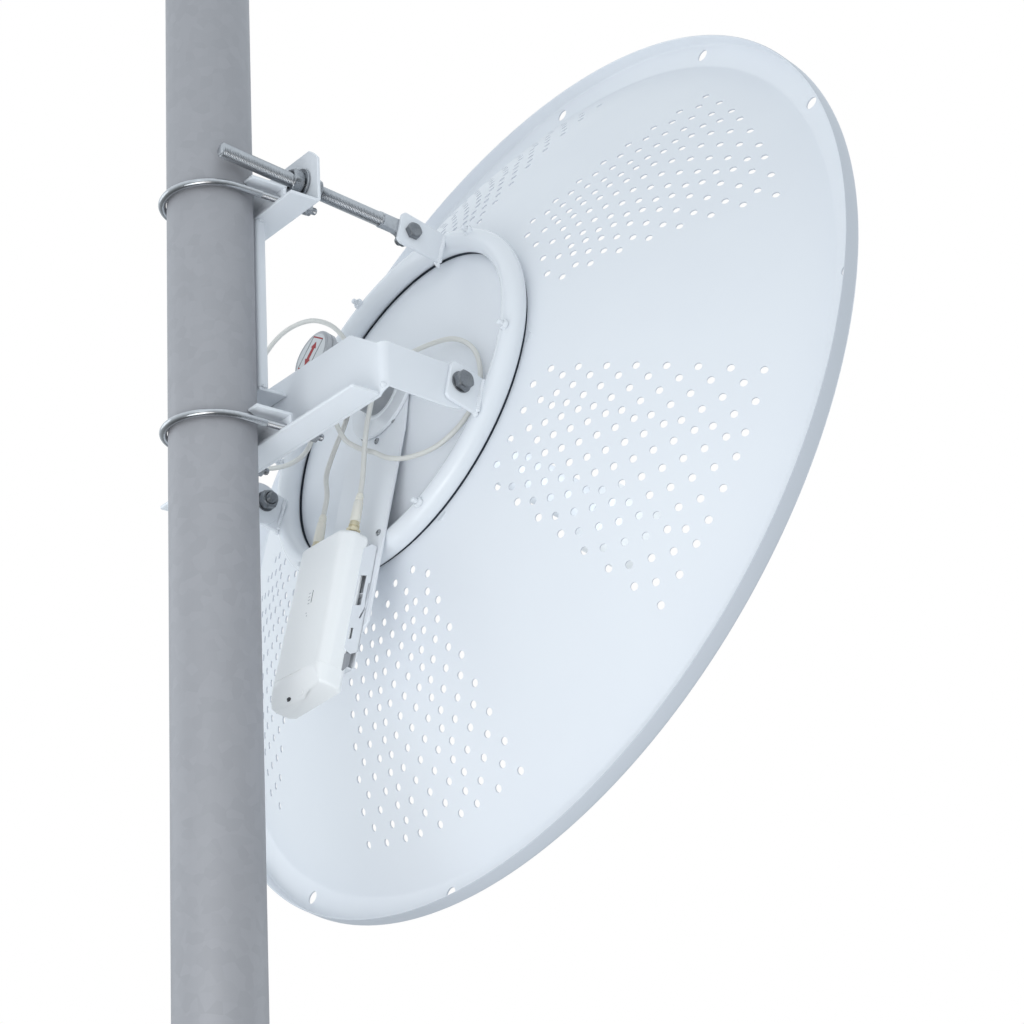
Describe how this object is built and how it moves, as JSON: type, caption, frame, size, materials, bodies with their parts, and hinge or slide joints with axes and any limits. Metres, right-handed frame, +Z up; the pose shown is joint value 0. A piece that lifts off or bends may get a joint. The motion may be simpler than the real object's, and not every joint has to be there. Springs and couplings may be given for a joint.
{
  "type": "pole-mounted dish antenna",
  "caption": "Parabolic reflector on a clamp bracket with a tilt rod, tubular mounting ring, rear feed, radio unit and jumper leads, held on a round mast",
  "frame": {"origin": "centre of the mast's flat lower end", "axes": "+Z up along the mast, +Y the way the bracket and dish face, +X towards the side the picture is taken from"},
  "size_m": [1.05, 0.6284, 1.2591],
  "materials": {
    "white_powder_coat": "smooth white powder coat",
    "zinc_plated_steel": "zinc plated thread and rod",
    "dark_bolt_steel": "dark plated bolts",
    "cast_aluminium": "bare casting",
    "white_plastic": "satin white plastic",
    "connector_brass": "plated brass",
    "mast_grey_steel": "grey painted steel tube"
  },
  "bodies": {
    "mast": {"mast": "mast_grey_steel"},
    "bracket": {"yoke_plate": "white_powder_coat", "yoke_flange": "white_powder_coat", "upper_bracket": "white_powder_coat", "spine_channel": "white_powder_coat", "spine_foot": "white_powder_coat", "upper_saddle": "white_powder_coat", "lower_saddle": "white_powder_coat", "upper_u_bolt": "zinc_plated_steel", "lower_u_bolt": "zinc_plated_steel", "upper_u_nut_near": "zinc_plated_steel", "upper_u_nut_far": "zinc_plated_steel", "lower_u_nut_near": "zinc_plated_steel", "lower_u_nut_far": "zinc_plated_steel", "near_pivot_bolt": "dark_bolt_steel", "far_pivot_bolt": "dark_bolt_steel", "near_pivot_nut": "dark_bolt_steel", "far_pivot_nut": "dark_bolt_steel"},
    "dish": {"reflector": "white_powder_coat", "mounting_ring": "white_powder_coat", "near_lug": "white_powder_coat", "far_lug": "white_powder_coat", "top_lug": "white_powder_coat", "top_pin_bolt": "dark_bolt_steel", "top_pin_nut": "dark_bolt_steel", "feed_flange": "white_powder_coat", "feed_body": "cast_aluminium", "feed_cap": "cast_aluminium", "feed_tube": "white_powder_coat", "feed_cover": "white_plastic", "radio_plate": "white_powder_coat", "radio_clip": "white_powder_coat", "radio_body": "white_plastic", "radio_end_cover": "white_plastic", "near_connector": "connector_brass", "far_connector": "connector_brass", "near_cable_boot": "white_plastic", "far_cable_boot": "white_plastic", "near_feed_port": "connector_brass", "far_feed_port": "connector_brass", "near_cable": "white_plastic", "far_cable": "white_plastic"},
    "rod": {"elevation_rod": "zinc_plated_steel"},
    "rod_nuts": {"front_rod_nut": "zinc_plated_steel", "rear_rod_nut": "zinc_plated_steel"}
  },
  "joints": [
    {"name": "azimuth", "type": "hinge", "parent": "mast", "child": "bracket", "pos_m": [0, 0, 0.72], "axis": [0, 0, 1], "range_deg": [-180, 180]},
    {"name": "elevation", "type": "hinge", "parent": "bracket", "child": "dish", "pos_m": [0, 0.176, 0.72], "axis": [1, 0, 0], "range_deg": [-4, 14]},
    {"name": "rod_pin", "type": "hinge", "parent": "dish", "child": "rod", "pos_m": [0.0453, 0.221, 0.9618], "axis": [1, 0, 0], "range_deg": [-14.05, 4.05]},
    {"name": "rod_nut_travel", "type": "slide", "parent": "rod", "child": "rod_nuts", "axis": [0.0523, -0.9969, 0.0583], "range_m": [-0.0601, 0.0173]}
  ],
  "couplings": [
    {"joint": "rod_pin", "follows": "elevation", "ratio": -1},
    {"joint": "rod_nut_travel", "follows": "elevation", "m_per_rad": -0.2451}
  ]
}
